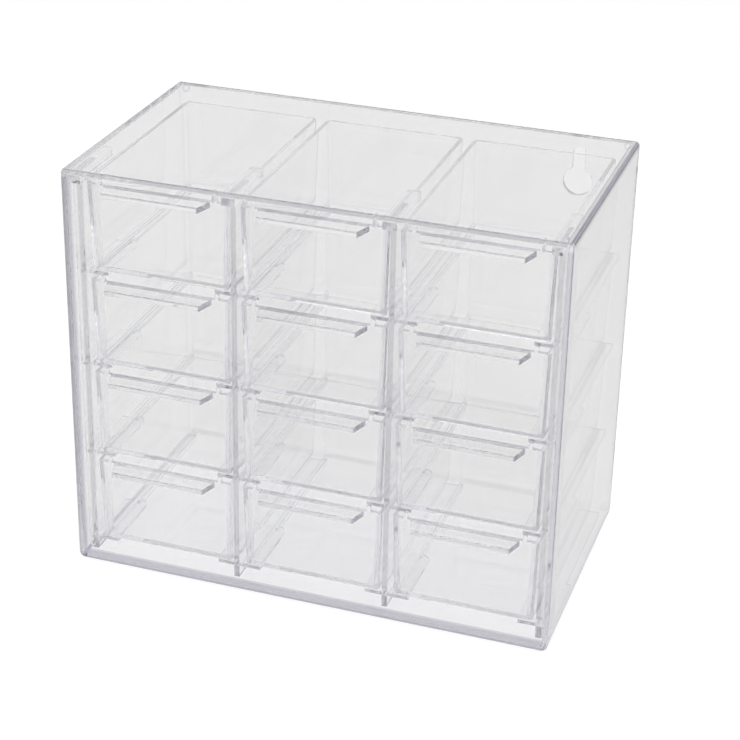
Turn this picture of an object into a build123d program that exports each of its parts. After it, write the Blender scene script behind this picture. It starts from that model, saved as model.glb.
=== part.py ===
from build123d import *

import os

# A clear drawer chest in millimetres: an outer case, four upright racks and a grid of small drawers.
# +X is to the right, +Y to the back and +Z up. The origin is the middle of the case's underside.

# Outer case
case_width = 180.0
case_depth = 100.0
case_height = 155.0
case_wall = 2.0
case_top_edge_radius = 1.4
case_bottom_edge_radius = 2.4
case_back_edge_radius = 0.5
case_inner_radius = 1.0
case_rim_radius = 0.5

# Keyhole and ejector marks in the back wall
keyhole_from_side = 21.4
keyhole_from_top = 19.0
keyhole_head_radius = 5.4
keyhole_slot_width = 4.6
keyhole_slot_rise = 10.8
ejector_mark_radius = 1.5
ejector_mark_depth = 0.3
ejector_mark_inset = 3.6

# Short nibs that hang from the case's top at the front, two over each column
top_nib_offset = 23.0
top_nib_width = 0.8
top_nib_length = 3.0
top_nib_drop = 2.5
top_nib_setback = 0.5

# Grid of cells
columns = 3
rows = 4
side_margin = 2.65
base_gap = 3.0
top_flange_thickness = 2.8

# Racks: a front post with a ledge for each row. A ledge is a wide tab with a free, ribbed rail behind it.
post_width = 2.0
post_depth = 12.2
post_front_setback = 4.8
rack_clearance = 0.1
ledge_thickness = 1.3
tab_reach = 8.2
tab_length = 28.5
tab_corner_radius = 3.0
rail_reach = 4.7
rail_wall_reach = 0.75
rail_length = 53.5
rib_width = 1.2
rib_height = 2.6
wall_flange_depth = 2.0
wall_flange_chamfer = 1.4
top_flange_reach = 2.5
top_flange_length = 27.2
top_flange_corner_radius = 1.6
top_flange_setback = 0.3

# Drawers
drawer_front_setback = 5.5
drawer_length = 88.0
drawer_side_clearance = 0.85
drawer_seat_clearance = 0.3
drawer_head_clearance = 1.7
drawer_wall = 1.5
drawer_floor = 1.6
drawer_draft = 0.9
drawer_front_corner_radius = 1.6
drawer_rear_corner_radius = 2.6
drawer_foot_radius = 1.3
drawer_inner_corner_radius = 1.1
drawer_inner_foot_radius = 0.8

# Handle ledge along the top of a drawer's front
handle_root_width = 39.6
handle_tip_width = 35.0
handle_reach = 7.0
handle_thickness = 2.1
handle_nose_radius = 0.5

# Stop nibs on a drawer's front rim, which meet the ledge above
nib_offset = 21.6
nib_width = 1.4
nib_height = 2.4
nib_clearance = 0.3
nib_chamfer = 0.4

# How far a solid runs into the one it is fused to, or a cutter runs past the face it cuts
overlap = 0.6

# Worked out from the sizes above
front_y = -case_depth / 2
back_y = case_depth / 2
inner_half_width = case_width / 2 - case_wall
floor_z = case_wall
ceiling_z = case_height - case_wall
inner_back_y = back_y - case_wall
column_pitch = 2 * (inner_half_width - side_margin) / columns
row_pitch = (ceiling_z - top_flange_thickness - floor_z - base_gap) / rows
first_ledge_z = floor_z + base_gap + ledge_thickness
post_front_y = front_y + post_front_setback
rack_side_reach = side_margin - rack_clearance
rack_top_z = ceiling_z - rack_clearance

drawer_front_y = front_y + drawer_front_setback
drawer_rear_y = drawer_front_y + drawer_length
drawer_top_width = column_pitch - post_width - 2 * drawer_side_clearance
drawer_height = row_pitch - ledge_thickness - drawer_seat_clearance - drawer_head_clearance

ledge_front_y = drawer_front_y + drawer_wall + nib_clearance
tab_rear_y = ledge_front_y + tab_length


def boundary_x(index):
    """The middle of the post to the left of column number index, counted from 0."""
    return (index - columns / 2) * column_pitch


def column_x(index):
    return boundary_x(index) + column_pitch / 2


def ledge_top_z(level):
    """The top of a row's ledge, counted from 0 at the bottom."""
    return first_ledge_z + level * row_pitch


def block(low, high):
    """A box between two corners."""
    size = [b - a for a, b in zip(low, high)]
    return Pos(*low) * Box(*size, align=(Align.MIN, Align.MIN, Align.MIN))


# Outer case


def case_body():
    outer = Box(case_width, case_depth, case_height, align=(Align.CENTER, Align.CENTER, Align.MIN))
    long_edges = outer.edges().filter_by(Axis.Y).sort_by(Axis.Z)
    outer = fillet(long_edges[:2], case_bottom_edge_radius)
    outer = fillet(outer.edges().filter_by(Axis.Y).sort_by(Axis.Z)[-2:], case_top_edge_radius)
    outer = fillet(outer.faces().sort_by(Axis.Y)[-1].edges(), case_back_edge_radius)
    cavity = block(
        (-inner_half_width, front_y - overlap, floor_z),
        (inner_half_width, inner_back_y, ceiling_z),
    )
    cavity = fillet(cavity.edges().filter_by(Axis.Y), case_inner_radius)
    body = outer - cavity
    return fillet(body.faces().sort_by(Axis.Y)[0].edges(), case_rim_radius)


def keyhole_cutter(x):
    """A round hole for a screw's head, with a narrow slot above it for the shank."""
    head_z = case_height - keyhole_from_top
    upright = Pos(x, back_y, head_z) * Rot(90, 0, 0)
    head = Circle(keyhole_head_radius)
    slot = Pos(0, keyhole_slot_rise / 2) * Rectangle(keyhole_slot_width, keyhole_slot_rise)
    slot_end = Pos(0, keyhole_slot_rise) * Circle(keyhole_slot_width / 2)
    return upright * extrude(head + slot + slot_end, amount=case_wall + overlap, both=True)


def top_nib(x):
    nib_y = front_y + top_nib_setback
    return block(
        (x - top_nib_width / 2, nib_y, ceiling_z - top_nib_drop),
        (x + top_nib_width / 2, nib_y + top_nib_length, ceiling_z + overlap),
    )


def make_case():
    case = case_body() - keyhole_cutter(case_width / 2 - keyhole_from_side)
    for side in (-1, 1):
        for z in (ejector_mark_inset, case_height - ejector_mark_inset):
            mark = Cylinder(ejector_mark_radius, 2 * ejector_mark_depth, rotation=(90, 0, 0))
            case -= Pos(side * (case_width / 2 - ejector_mark_inset), back_y, z) * mark
        for index in range(columns):
            case += top_nib(column_x(index) + side * top_nib_offset)
    return case


# Racks. Each is made with the middle of its post at x = 0.


def rack_post():
    return block(
        (-post_width / 2, post_front_y, floor_z),
        (post_width / 2, post_front_y + post_depth, rack_top_z),
    )


def shelf(reach_left, reach_right, y_front, y_rear, z_low, z_high, rounded, radius):
    """A flat plate across a post. One or both of its rear corners are rounded, the right one first."""
    plate = block((-reach_left, y_front, z_low), (reach_right, y_rear, z_high))
    rear_corners = plate.edges().filter_by(Axis.Z).sort_by(Axis.Y)[-2:].sort_by(Axis.X)
    return fillet(rear_corners[-rounded:], radius)


def ledge(level, tab_left, rail_left, rounded):
    """One row's ledge. Its right side is always the full one, and each full side of the rail has its rib."""
    top = ledge_top_z(level)
    bottom = top - ledge_thickness
    rail_y = tab_rear_y - overlap
    rail_end_y = tab_rear_y + rail_length
    solid = shelf(tab_left, tab_reach, ledge_front_y, tab_rear_y, bottom, top, rounded, tab_corner_radius)
    solid += block((-rail_left, rail_y, bottom), (rail_reach, rail_end_y, top))
    solid += block((rail_reach - rib_width, rail_y, top - rib_height), (rail_reach, rail_end_y, top))
    if rounded == 2:
        solid += block((-rail_reach, rail_y, top - rib_height), (rib_width - rail_reach, rail_end_y, top))
    return solid


def top_flange(left_reach, rounded):
    """The flange under the case's top."""
    y_front = front_y + top_flange_setback
    y_rear = y_front + top_flange_length
    z_low = ceiling_z - top_flange_thickness
    return shelf(
        left_reach, top_flange_reach, y_front, y_rear, z_low, rack_top_z, rounded, top_flange_corner_radius
    )


def make_middle_rack():
    rack = rack_post() + top_flange(top_flange_reach, 2)
    for level in range(rows):
        rack += ledge(level, tab_reach, rail_reach, 2)
    return rack


def wall_flange():
    """A strip that closes the gap between a side post and the case's wall, clear of its rounded corners."""
    strip = block(
        (-rack_side_reach, post_front_y, floor_z),
        (0, post_front_y + wall_flange_depth, rack_top_z),
    )
    corners = strip.edges().filter_by(Axis.Y).sort_by(Axis.X)[:2]
    return chamfer(corners, wall_flange_chamfer)


def make_left_rack():
    rack = rack_post() + wall_flange() + top_flange(post_width / 2, 1)
    for level in range(rows):
        rack += ledge(level, rack_side_reach, rail_wall_reach, 1)
    return rack


# Drawers


def rounded_outline(half_width, y_front, y_rear, front_radius, rear_radius, z):
    """A rectangle with its own corner radius at the front and at the rear."""
    middle_y = (y_front + y_rear) / 2
    outline = Pos(0, middle_y, z) * Rectangle(2 * half_width, y_rear - y_front)
    corners = outline.vertices()
    outline = fillet(corners.sort_by(Axis.Y)[:2], front_radius)
    return fillet(outline.vertices().sort_by(Axis.Y)[-2:], rear_radius)


def drawer_shell():
    half_top = drawer_top_width / 2
    half_bottom = half_top - drawer_draft
    outer = loft(
        [
            rounded_outline(
                half_bottom,
                drawer_front_y + drawer_draft,
                drawer_rear_y - drawer_draft,
                drawer_front_corner_radius,
                drawer_rear_corner_radius,
                0,
            ),
            rounded_outline(
                half_top,
                drawer_front_y,
                drawer_rear_y,
                drawer_front_corner_radius,
                drawer_rear_corner_radius,
                drawer_height,
            ),
        ],
        ruled=True,
    )
    outer = fillet(outer.faces().sort_by(Axis.Z)[0].edges(), drawer_foot_radius)
    slope = drawer_draft / drawer_height

    def inner_outline(z):
        grow = slope * z - drawer_draft - drawer_wall
        return rounded_outline(
            half_top + grow,
            drawer_front_y - grow,
            drawer_rear_y + grow,
            drawer_inner_corner_radius,
            drawer_inner_corner_radius,
            z,
        )

    inner = loft([inner_outline(drawer_floor), inner_outline(drawer_height + overlap)], ruled=True)
    inner = fillet(inner.faces().sort_by(Axis.Z)[0].edges(), drawer_inner_foot_radius)
    return outer - inner


def drawer_handle():
    """The ledge that a fingertip pulls: a flat tongue, narrower at its tip than at its root."""
    root_y = drawer_front_y + overlap
    tip_y = drawer_front_y - handle_reach
    top = drawer_height
    tongue = block(
        (-handle_root_width / 2, tip_y, top - handle_thickness),
        (handle_root_width / 2, root_y, top),
    )
    nose = tongue.edges().filter_by(Axis.X).sort_by(Axis.Y)[:2]
    tongue = fillet(nose, handle_nose_radius)
    half_root = handle_root_width / 2
    half_tip = handle_tip_width / 2
    plan = Polyline(
        (-half_root, root_y + overlap),
        (-half_root, drawer_front_y),
        (-half_tip, tip_y - overlap),
        (half_tip, tip_y - overlap),
        (half_root, drawer_front_y),
        (half_root, root_y + overlap),
        close=True,
    )
    return tongue & extrude(make_face(plan), amount=drawer_height)


def stop_nib(x):
    """A small upright on the front rim, which stops the drawer against the ledge above it."""
    nib = block(
        (x - nib_width / 2, drawer_front_y, drawer_height - overlap),
        (x + nib_width / 2, drawer_front_y + drawer_wall, drawer_height + nib_height),
    )
    return chamfer(nib.faces().sort_by(Axis.Z)[-1].edges().filter_by(Axis.Y), nib_chamfer)


def make_drawer():
    drawer = drawer_shell() + drawer_handle()
    for side in (-1, 1):
        drawer += stop_nib(side * nib_offset)
    return drawer


def write(solid, name):
    solid.label = name
    export_step(solid, f"parts/{name}.step")
    print(name, len(solid.solids()), round(solid.volume))


os.makedirs("parts", exist_ok=True)

write(make_case(), "case")

left_rack = make_left_rack()
middle_rack = make_middle_rack()
write(Pos(boundary_x(0), 0, 0) * left_rack, "rack_left")
write(Pos(boundary_x(1), 0, 0) * middle_rack, "rack_middle_left")
write(Pos(boundary_x(2), 0, 0) * middle_rack, "rack_middle_right")
write(mirror(Pos(boundary_x(0), 0, 0) * left_rack, about=Plane.YZ), "rack_right")

drawer = make_drawer()
for level in range(rows):
    row = rows - level
    seat_z = ledge_top_z(level) + drawer_seat_clearance
    for index in range(columns):
        write(Pos(column_x(index), 0, seat_z) * drawer, f"drawer_r{row}c{index + 1}")
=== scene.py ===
# %% [markdown]
# A clear drawer chest.
# The chest is a clear moulded case with four racks inside, and twelve clear drawers that slide on the
# racks. The solids come from the imported frame, so this script finishes them: it gives each kind of
# moulding its plastic, paints shade into that plastic's colour along its edges, its rims and the rings
# of the pin marks that moulding leaves, and builds a white studio in which clear plastic can be read.

# %% Load the frame
import math

import bpy
from mathutils import Matrix, Vector

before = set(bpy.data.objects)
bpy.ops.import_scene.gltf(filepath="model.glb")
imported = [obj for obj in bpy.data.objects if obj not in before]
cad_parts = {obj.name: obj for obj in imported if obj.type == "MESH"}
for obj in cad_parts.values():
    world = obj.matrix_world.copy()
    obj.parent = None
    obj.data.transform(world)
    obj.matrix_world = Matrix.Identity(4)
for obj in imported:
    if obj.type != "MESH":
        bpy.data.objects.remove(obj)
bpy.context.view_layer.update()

scene = bpy.context.scene
MM = 0.001

# %% [markdown]
# The camera.
# The picture was taken from the front right and from above. Azimuth, elevation and roll turn the
# camera, and its place and focal length follow from the picture's perspective. A long lens keeps the
# far edges nearly as long as the near ones. The lens is also shifted a little, because the picture's
# upright edges run closer to parallel than they would without that.

# %% Camera
PICTURE_WIDTH = 740
SENSOR_MM = 36.0
FOCAL_PIXELS = 2019.0
AZIMUTH = math.radians(18.271)
ELEVATION = math.radians(25.671)
ROLL = math.radians(1.207)
CAMERA_PLACE = Vector((213.24, -627.56, 405.66)) * MM
PRINCIPAL_POINT = (370.0, 330.0)
CLIP_RANGE = (0.01, 50)


def camera_axes(azimuth, elevation, roll):
    """The camera's right, up and backward directions."""
    level_right = Vector((math.cos(azimuth), math.sin(azimuth), 0))
    back = Vector(
        (
            math.sin(azimuth) * math.cos(elevation),
            -math.cos(azimuth) * math.cos(elevation),
            math.sin(elevation),
        )
    )
    level_up = back.cross(level_right)
    right = math.cos(roll) * level_right + math.sin(roll) * level_up
    up = math.cos(roll) * level_up - math.sin(roll) * level_right
    return right, up, back


def make_camera():
    data = bpy.data.cameras.new("camera")
    data.sensor_width = SENSOR_MM
    data.lens = SENSOR_MM * FOCAL_PIXELS / PICTURE_WIDTH
    data.shift_x = 0.5 - PRINCIPAL_POINT[0] / PICTURE_WIDTH
    data.shift_y = PRINCIPAL_POINT[1] / PICTURE_WIDTH - 0.5
    data.clip_start, data.clip_end = CLIP_RANGE
    camera = bpy.data.objects.new("camera", data)
    scene.collection.objects.link(camera)
    axes = camera_axes(AZIMUTH, ELEVATION, ROLL)
    camera.matrix_world = Matrix.Translation(CAMERA_PLACE) @ Matrix(axes).transposed().to_4x4()
    scene.camera = camera
    print("lens", round(data.lens, 1), "mm, shift", round(data.shift_x, 4), round(data.shift_y, 4))


make_camera()

# %% [markdown]
# Short ways to build node trees.
# The plastics, the room and the floor are all node trees. A small helper keeps each one readable: it
# adds a node, feeds its inputs from plain values or from other nodes, and hands back what comes out.

# %% Node helper


class Tree:
    """A node tree, with short ways to add nodes and to feed their inputs."""

    def __init__(self, tree):
        self.nodes = tree.nodes
        self.links = tree.links

    def add(self, kind, inputs=None, **settings):
        node = self.nodes.new(kind)
        for name, value in settings.items():
            setattr(node, name, value)
        for place, value in (inputs or {}).items():
            self.feed(node.inputs[place], value)
        return node

    def feed(self, socket, value):
        if isinstance(value, bpy.types.NodeSocket):
            self.links.new(value, socket)
        elif isinstance(value, tuple) and socket.type == "RGBA":
            socket.default_value = (*value, 1)
        else:
            socket.default_value = value

    def math(self, operation, first, second=0.0):
        return self.add("ShaderNodeMath", {0: first, 1: second}, operation=operation).outputs[0]

    def times(self, first, second):
        """Where both masks hold."""
        return self.math("MULTIPLY", first, second)

    def ramp(self, value, start, stop, low=0.0, high=1.0, kind="LINEAR"):
        """One level up to the start, another past the stop, and a slope between."""
        levels = {"Value": value, "From Min": start, "From Max": stop, "To Min": low, "To Max": high}
        return self.add("ShaderNodeMapRange", levels, interpolation_type=kind).outputs["Result"]

    def span(self, value, bounds):
        """A mask that rises from the first bound to the second, both in millimetres."""
        return self.ramp(value, bounds[0] * MM, bounds[1] * MM)

    def bands(self, table):
        """The masks of a table that gives each band its name, its axis and its two bounds."""
        place = dict(zip("xyz", self.place()))
        return {name: self.span(place[axis], bounds) for name, (axis, bounds) in table.items()}

    def blend(self, mask, first, second):
        """One colour where the mask is none and another where it is one."""
        return self.add("ShaderNodeMix", {0: mask, 6: first, 7: second}, data_type="RGBA").outputs[2]

    def paint(self, color, layers):
        """Lays tints over a colour, one after another, each where its mask holds."""
        for mask, tint in layers:
            color = self.blend(mask, color, tint)
        return color

    def split(self, vector):
        parts = self.add("ShaderNodeSeparateXYZ", {"Vector": vector}).outputs
        return parts["X"], parts["Y"], parts["Z"]

    def place(self):
        """The three coordinates of a point on the piece, in metres."""
        return self.split(self.add("ShaderNodeTexCoord").outputs["Object"])

    def steepness(self):
        """How much the surface faces along each axis, from none to one."""
        normal = self.add("ShaderNodeNewGeometry").outputs["True Normal"]
        return self.split(self.add("ShaderNodeVectorMath", {0: normal}, operation="ABSOLUTE").outputs[0])


def new_group(name, inputs, outputs):
    """An empty node group with its sockets, and the nodes inside that stand for them."""
    group = bpy.data.node_groups.new(name, "ShaderNodeTree")
    for socket_name, value in inputs.items():
        made = group.interface.new_socket(name=socket_name, in_out="INPUT", socket_type="NodeSocketFloat")
        made.default_value = value
    for socket_name, kind in outputs.items():
        group.interface.new_socket(name=socket_name, in_out="OUTPUT", socket_type=kind)
    tree = Tree(group)
    return group, tree, tree.add("NodeGroupInput").outputs, tree.add("NodeGroupOutput").inputs


# %% [markdown]
# The surface of a clear moulding.
# Moulded polystyrene looks like glass, but it is never quite flat: the plastic shrinks as it cools,
# which leaves long shallow waves, and handling leaves a faint haze. Both are values over the surface,
# so one node group makes them for every plastic here. It puts out a roughness and a normal.

# %% Surface group
WAVE_DETAIL = {"Detail": 1.0, "Roughness": 0.4}
HAZE_PATCHES = {"Scale": 60.0, "Detail": 5.0}
HAZE_RANGE = (0.35, 0.75)


def moulded_surface_group():
    inputs = {"Wave Scale": 20.0, "Wave Depth": 0.00001, "Haze": 0.05}
    outputs = {"Roughness": "NodeSocketFloat", "Normal": "NodeSocketVector"}
    group, tree, given, result = new_group("moulded_surface", inputs, outputs)
    place = tree.add("ShaderNodeTexCoord").outputs["Object"]
    wave_inputs = {"Vector": place, "Scale": given["Wave Scale"], **WAVE_DETAIL}
    waves = tree.add("ShaderNodeTexNoise", wave_inputs).outputs["Fac"]
    bump = tree.add("ShaderNodeBump", {"Strength": 1.0, "Height": waves, "Distance": given["Wave Depth"]})
    tree.feed(result["Normal"], bump.outputs["Normal"])
    haze = tree.add("ShaderNodeTexNoise", {"Vector": place, **HAZE_PATCHES}).outputs["Fac"]
    tree.feed(result["Roughness"], tree.ramp(haze, *HAZE_RANGE, high=given["Haze"]))
    return group


SURFACE_GROUP = moulded_surface_group()
print("group", SURFACE_GROUP.name, "has", len(SURFACE_GROUP.nodes), "nodes")

# %% [markdown]
# Where a moulding's edges are.
# Flat walls let the light straight through. A rounded edge or a bevel throws it sideways into the
# dark part of a studio, which draws the outline of a clear piece. A second group finds those edges
# from the surface's own direction: a wall faces along one axis, and an edge faces between two. It
# puts out a mask, and each plastic paints shade into its colour under that mask, which makes the
# outline darker still.

# %% Edge group


def edge_mask_group():
    inputs = {"Flat": 0.996, "Turned": 0.975}
    group, tree, given, result = new_group("edge_mask", inputs, {"Mask": "NodeSocketFloat"})
    along_x, along_y, along_z = tree.steepness()
    squareness = tree.math("MAXIMUM", tree.math("MAXIMUM", along_x, along_y), along_z)
    tree.feed(result["Mask"], tree.ramp(squareness, given["Flat"], given["Turned"]))
    return group


EDGE_GROUP = edge_mask_group()
print("group", EDGE_GROUP.name, "has", len(EDGE_GROUP.nodes), "nodes")

# %% [markdown]
# Painted shade that each kind of moulding gets beyond its edges.
# The case's front rim is the end of its walls, where one looks along them. Its colour is darkened
# there as painted shade for the case's own shadow on the floor, which those rims look into: at the
# left, at the right and most of all below, each with a darker outer line. The rim of the top is left
# clear between two thin lines, as a painted light band. The case's floor and its top panel are
# darkened as painted shade too. The pins that push the case out of its mould leave a ring near each
# corner of the back wall, and that ring is drawn in painted shade. A rack gets painted shade where its
# post and its tabs end at the front, and a drawer where its handle's two ends are bevelled. Every mask
# reads the place on the piece itself, so it keeps to that place in every pose.

# %% Places and painted shades
# Bands in millimetres: the axis, then where the mask begins and where it is whole.
CASE_BANDS = {
    "floor": ("z", (2.4, 2.1)),
    "low_inside": ("z", (2.6, 2.2)),
    "low_edges": ("z", (3.5, 2.8)),
    "low_line": ("z", (1.5, 1.1)),
    "left_inside": ("x", (-87.6, -87.9)),
    "left_line": ("x", (-88.7, -89.1)),
    "lip": ("y", (-46.0, -46.5)),
    "front": ("y", (-48.7, -49.3)),
    "top": ("z", (152.8, 153.2)),
    "top_rim": ("z", (151.9, 152.3)),
    "under_top_line": ("z", (154.95, 154.7)),
    "top_line": ("z", (154.7, 154.95)),
    "inner_back": ("y", (46.5, 46.9)),
    "back": ("y", (48.4, 49.0)),
    "back_line": ("z", (154.6, 154.9)),
}
RACK_BANDS = {"fronts": ("y", (-42.2, -42.5)), "off_floor": ("z", (3.6, 6.0))}
RACK_OFF_WALL = (86.5, 86.2)
HANDLE_BANDS = {"handle": ("y", (-44.8, -45.2))}

# Pin marks in millimetres, counted sideways and upward from the middle of the back wall.
MARK_FROM_MIDDLE = (86.0, 74.2)
BACK_MIDDLE_HEIGHT = 77.5
MARK_RADIUS = 1.2
MARK_DISC = (2.0, 1.7)
MARK_RING = (0.4, 0.1)

# How squarely a face looks along an axis, and how little of an edge it is, from none to one.
FACES_FORWARD = (0.98, 0.99)
FACES_SIDEWAYS = (0.5, 0.6)
OFF_EDGE = (0.4, 0.1)

# What is left of red, green and blue. CLEAR lifts a place back to no tint; every other colour below is
# painted shade, laid over the plastic's own tint where its mask holds.
CLEAR = (1.0, 1.0, 1.0)
CASE_FLOOR_PAINTED_SHADE = (0.88, 0.88, 0.89)
TOP_PAINTED_SHADE = (0.90, 0.90, 0.905)
LOW_EDGE_PAINTED_SHADE = (0.50, 0.48, 0.56)
MARK_RING_PAINTED_SHADE = (0.70, 0.69, 0.74)
SIDE_RIM_PAINTED_SHADE = (0.60, 0.59, 0.65)
LOW_RIM_PAINTED_SHADE = (0.50, 0.49, 0.55)
LEFT_LINE_PAINTED_SHADE = (0.46, 0.44, 0.51)
LOW_LINE_PAINTED_SHADE = (0.32, 0.31, 0.37)
TOP_LINE_PAINTED_SHADE = (0.72, 0.70, 0.78)
BACK_LINE_PAINTED_SHADE = (0.20, 0.19, 0.25)
RACK_FRONT_PAINTED_SHADE = (0.66, 0.65, 0.67)
HANDLE_END_PAINTED_SHADE = (0.60, 0.59, 0.65)
print("case bands", len(CASE_BANDS), "rack bands", len(RACK_BANDS), "handle bands", len(HANDLE_BANDS))

# %% Shades


def pin_marks(tree):
    """The ejector pins' marks as masks: whole discs, and the rings around them."""
    x, _, z = tree.place()
    across = tree.math("SUBTRACT", tree.math("ABSOLUTE", x), MARK_FROM_MIDDLE[0] * MM)
    height = tree.math("SUBTRACT", z, BACK_MIDDLE_HEIGHT * MM)
    upward = tree.math("SUBTRACT", tree.math("ABSOLUTE", height), MARK_FROM_MIDDLE[1] * MM)
    square = tree.math("ADD", tree.math("POWER", across, 2.0), tree.math("POWER", upward, 2.0))
    distance = tree.math("SQRT", square)
    off_ring = tree.math("ABSOLUTE", tree.math("SUBTRACT", distance, MARK_RADIUS * MM))
    return tree.span(distance, MARK_DISC), tree.span(off_ring, MARK_RING)


def shade_case(tree, edges, look):
    """The case's colour: its tint on the walls, with painted shade on the edges, the floor, the top
    panel, the pin marks' rings, the rims and their darker outer lines, and the top rim kept clear as a
    painted light band.
    """
    at = tree.bands(CASE_BANDS)
    discs, rings = pin_marks(tree)
    lip = tree.times(at["lip"], tree.math("MAXIMUM", at["low_inside"], at["left_inside"]))
    top_rim = tree.times(at["front"], at["top_rim"])
    side_rim = tree.math("SUBTRACT", tree.math("MAXIMUM", at["front"], lip), top_rim)
    top_back = tree.times(at["back"], at["top"])
    # Each layer after the first paints shade into the case's colour, except where a place is set back to
    # clear.
    layers = (
        (edges, look["painted_edge_shade"]),
        # Painted shade on the case's floor beneath the drawers.
        (at["floor"], CASE_FLOOR_PAINTED_SHADE),
        # Painted shade on the top panel, away from its edges.
        (tree.times(at["top"], tree.ramp(edges, *OFF_EDGE)), TOP_PAINTED_SHADE),
        # Lighter painted shade on the edges low on the case.
        (tree.times(edges, at["low_edges"]), LOW_EDGE_PAINTED_SHADE),
        # The pin marks' walls are set back to plain tint, and a thin ring of painted shade outlines each
        # mark.
        (tree.times(discs, at["inner_back"]), look["tint"]),
        (tree.times(rings, at["inner_back"]), MARK_RING_PAINTED_SHADE),
        (side_rim, SIDE_RIM_PAINTED_SHADE),
        (tree.times(side_rim, at["low_inside"]), LOW_RIM_PAINTED_SHADE),
        (tree.times(at["front"], at["left_line"]), LEFT_LINE_PAINTED_SHADE),
        (tree.times(at["front"], at["low_line"]), LOW_LINE_PAINTED_SHADE),
        # The top rim is set back to clear as a painted light band under a thin painted dark line, and the
        # top back edge is set back to clear under a painted dark back line.
        (tree.times(top_rim, at["under_top_line"]), CLEAR),
        (tree.times(at["front"], at["top_line"]), TOP_LINE_PAINTED_SHADE),
        (top_back, CLEAR),
        (tree.times(top_back, at["back_line"]), BACK_LINE_PAINTED_SHADE),
    )
    return tree.paint(look["tint"], layers)


def shade_rack(tree, edges, look):
    """A rack's colour: its tint on the walls, with painted shade on the edges and on the front ends of
    the post and of the ledges' tabs.
    """
    at = tree.bands(RACK_BANDS)
    off_wall = tree.span(tree.math("ABSOLUTE", tree.place()[0]), RACK_OFF_WALL)
    forward = tree.ramp(tree.steepness()[1], *FACES_FORWARD)
    fronts = tree.times(tree.times(at["fronts"], forward), tree.times(off_wall, at["off_floor"]))
    return tree.paint(look["tint"], ((edges, look["painted_edge_shade"]), (fronts, RACK_FRONT_PAINTED_SHADE)))


def shade_drawer(tree, edges, look):
    """A drawer's colour: its tint on the walls, a faint painted shade on the edges, and painted shade on
    the handle's bevelled ends.
    """
    sideways = tree.ramp(tree.steepness()[0], *FACES_SIDEWAYS)
    ends = tree.times(tree.bands(HANDLE_BANDS)["handle"], sideways)
    return tree.paint(look["tint"], ((edges, look["painted_edge_shade"]), (ends, HANDLE_END_PAINTED_SHADE)))


# %% [markdown]
# Clear polystyrene.
# The real material bends light strongly, which is why every edge shows as a line. Its refractive
# index is 1.59. A ray that runs along the inside of a wall picks up the faint grey violet of the
# plastic: a Volume Absorption shader does that. Light reaches the inside through the walls, which a
# renderer finds hard, so shadow rays meet a nearly clear Transparent BSDF instead. A ray that has
# been thrown about inside a wall many times leaves a real moulding through its small flaws. Here it
# does so through the same Transparent BSDF once its path is long, which keeps the edges grey where
# they would turn black.

# %% Plastics
POLYSTYRENE_IOR = 1.59
TRANSMISSION = 0.99
SHADOW_TINT = (0.97, 0.97, 0.975)
LONGEST_TRUE_PATH = 12.5
VIOLET = (0.5, 0.47, 0.62)
# Each look holds the plastic's own tint, and a second colour that is painted shade on its rounded edges
# and bevels, faint on the drawers.
LOOKS = {
    "case": {
        "shade": shade_case,
        "tint": (0.94, 0.94, 0.94),
        "painted_edge_shade": (0.20, 0.18, 0.24),
        "density": 1.0,
        "surface": {"Wave Scale": 14.0, "Wave Depth": 0.000006, "Haze": 0.03},
    },
    "rack": {
        "shade": shade_rack,
        "tint": (0.97, 0.97, 0.97),
        "painted_edge_shade": (0.58, 0.56, 0.64),
        "density": 4.0,
        "surface": {"Wave Scale": 30.0, "Wave Depth": 0.00001, "Haze": 0.05},
    },
    "drawer": {
        "shade": shade_drawer,
        "tint": (0.985, 0.985, 0.985),
        "painted_edge_shade": (0.97, 0.965, 0.99),
        "density": 1.0,
        "surface": {"Wave Scale": 24.0, "Wave Depth": 0.000008, "Haze": 0.04},
    },
}


def clear_plastic(kind, look):
    material = bpy.data.materials.new(f"clear_{kind}_plastic")
    material.use_nodes = True
    material.node_tree.nodes.clear()
    tree = Tree(material.node_tree)
    surface = tree.add("ShaderNodeGroup", node_tree=SURFACE_GROUP)
    for place, value in look["surface"].items():
        surface.inputs[place].default_value = value
    edges = tree.add("ShaderNodeGroup", node_tree=EDGE_GROUP).outputs["Mask"]
    shader_inputs = {
        # Base Color is the plastic's tint with painted shade laid over it place by place.
        "Base Color": look["shade"](tree, edges, look),
        "IOR": POLYSTYRENE_IOR,
        "Transmission Weight": TRANSMISSION,
        "Roughness": surface.outputs["Roughness"],
        "Normal": surface.outputs["Normal"],
    }
    shader = tree.add("ShaderNodeBsdfPrincipled", shader_inputs).outputs["BSDF"]
    straight = tree.add("ShaderNodeBsdfTransparent", {"Color": SHADOW_TINT}).outputs["BSDF"]
    path = tree.add("ShaderNodeLightPath").outputs
    lost = tree.math("GREATER_THAN", path["Ray Depth"], LONGEST_TRUE_PATH)
    either = tree.math("MAXIMUM", path["Is Shadow Ray"], lost)
    mix = tree.add("ShaderNodeMixShader", {0: either, 1: shader, 2: straight}).outputs["Shader"]
    volume_inputs = {"Color": VIOLET, "Density": look["density"]}
    volume = tree.add("ShaderNodeVolumeAbsorption", volume_inputs).outputs["Volume"]
    tree.add("ShaderNodeOutputMaterial", {"Surface": mix, "Volume": volume})
    print("material", material.name, "has", len(tree.nodes), "nodes")
    return material


def finish_nodes():
    """Gives every solid the plastic of its kind, which is the first word of its name."""
    plastics = {kind: clear_plastic(kind, look) for kind, look in LOOKS.items()}
    for name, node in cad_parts.items():
        kind = name.split("_")[0]
        node.data.materials.clear()
        node.data.materials.append(plastics[kind])


finish_nodes()

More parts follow.
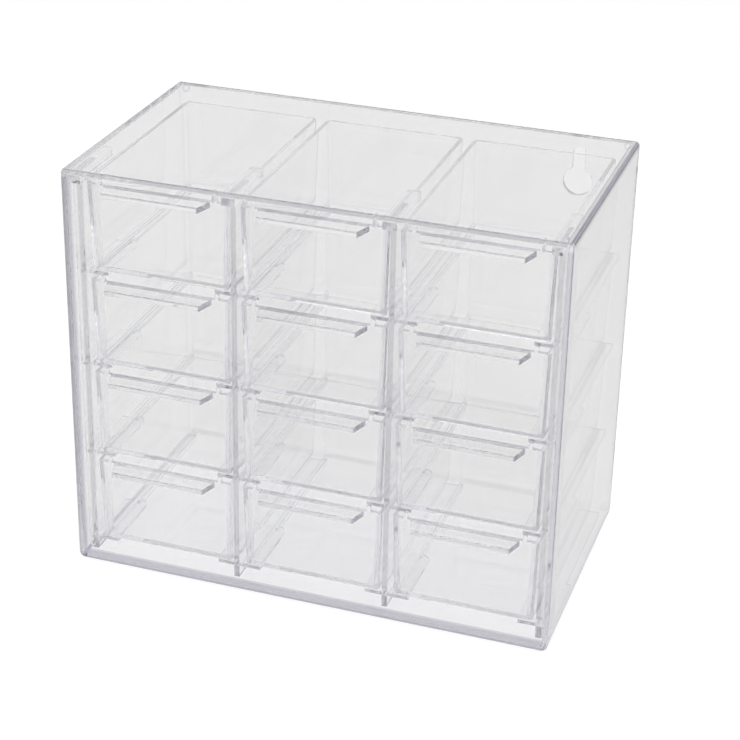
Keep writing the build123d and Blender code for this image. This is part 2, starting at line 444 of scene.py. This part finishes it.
# %% [markdown]
# The studio.
# Clear plastic has almost no colour of its own. What the eye reads is the room, bent by every edge,
# so the room decides how it looks. Here it is white behind and below, as on a light table, and darker
# high above and on the side of the camera, so that a ray which an edge throws that way comes back
# grey and draws the edge. The floor glows for rays from the camera, less for rays that come through
# the plastic and least for mirrored ones. That keeps it white, leaves the object's shadow in it, and
# lets the edges stand out against it.

# %% Studio
WHITE = (1.0, 1.0, 1.0)
CEILING_LEVEL = 0.12
CEILING_RISE = (0.40, 0.75)
FRONT_LEVEL = 0.6
FRONT_FADE = (-0.7, 0.2)
FLOOR_SIZE = 12.0
FLOOR_COLOR = (0.8, 0.8, 0.8)
FLOOR_GLOW = {"Is Camera Ray": 0.55, "Is Transmission Ray": 0.40, "Is Glossy Ray": 0.22}


def make_world():
    world = bpy.data.worlds.new("light_tent")
    scene.world = world
    world.use_nodes = True
    world.node_tree.nodes.clear()
    tree = Tree(world.node_tree)
    direction = tree.add("ShaderNodeTexCoord").outputs["Generated"]
    toward_back, toward_top = tree.split(direction)[1:]
    height = tree.ramp(toward_top, *CEILING_RISE, 1.0, CEILING_LEVEL, "SMOOTHSTEP")
    depth = tree.ramp(toward_back, *FRONT_FADE, FRONT_LEVEL, 1.0, "SMOOTHSTEP")
    room_inputs = {"Color": WHITE, "Strength": tree.times(height, depth)}
    room = tree.add("ShaderNodeBackground", room_inputs).outputs["Background"]
    white = tree.add("ShaderNodeBackground", {"Color": WHITE, "Strength": 1.0}).outputs["Background"]
    seen = tree.add("ShaderNodeLightPath").outputs["Is Camera Ray"]
    mix = tree.add("ShaderNodeMixShader", {0: seen, 1: room, 2: white}).outputs["Shader"]
    tree.add("ShaderNodeOutputWorld", {"Surface": mix})


def floor_material():
    material = bpy.data.materials.new("white_floor")
    material.use_nodes = True
    material.node_tree.nodes.clear()
    tree = Tree(material.node_tree)
    path = tree.add("ShaderNodeLightPath").outputs
    shares = [tree.times(path[ray], level) for ray, level in FLOOR_GLOW.items()]
    glow_level = tree.math("MAXIMUM", tree.math("MAXIMUM", shares[0], shares[1]), shares[2])
    glow = tree.add("ShaderNodeEmission", {"Strength": glow_level}).outputs["Emission"]
    matt = tree.add("ShaderNodeBsdfDiffuse", {"Color": FLOOR_COLOR}).outputs["BSDF"]
    both = tree.add("ShaderNodeAddShader", {0: matt, 1: glow}).outputs["Shader"]
    tree.add("ShaderNodeOutputMaterial", {"Surface": both})
    return material


def make_floor():
    mesh = bpy.data.meshes.new("floor")
    half = FLOOR_SIZE / 2
    corners = [(-half, -half, 0), (half, -half, 0), (half, half, 0), (-half, half, 0)]
    mesh.from_pydata(corners, [], [(0, 1, 2, 3)])
    mesh.materials.append(floor_material())
    floor = bpy.data.objects.new("floor", mesh)
    scene.collection.objects.link(floor)


def soft_box(name, place, target, size, power):
    light = bpy.data.lights.new(name, "AREA")
    light.shape = "RECTANGLE"
    light.size, light.size_y = size
    light.energy = power
    lamp = bpy.data.objects.new(name, light)
    scene.collection.objects.link(lamp)
    direction = Vector(target) - Vector(place)
    turn = direction.to_track_quat("-Z", "Y").to_matrix().to_4x4()
    lamp.matrix_world = Matrix.Translation(Vector(place)) @ turn
    print("lamp", name, "gives", power, "W")


make_world()
make_floor()
soft_box("top_soft_box", place=(0.0, 0.1, 1.3), target=(0, 0, 0.08), size=(1.0, 0.8), power=6.0)

# %% [markdown]
# Render settings for clear plastic.
# A ray from the camera crosses up to thirty surfaces here before it is out again, so the bounce
# limits are high.

# %% Light paths
DEEPEST_PATH = 40
GLOSSY_BOUNCES = 12
DIFFUSE_BOUNCES = 3
scene.view_settings.view_transform = "Standard"
scene.cycles.max_bounces = DEEPEST_PATH
scene.cycles.transmission_bounces = DEEPEST_PATH
scene.cycles.glossy_bounces = GLOSSY_BOUNCES
scene.cycles.diffuse_bounces = DIFFUSE_BOUNCES
scene.cycles.transparent_max_bounces = DEEPEST_PATH
scene.cycles.use_denoising = True
print("deepest path", DEEPEST_PATH)
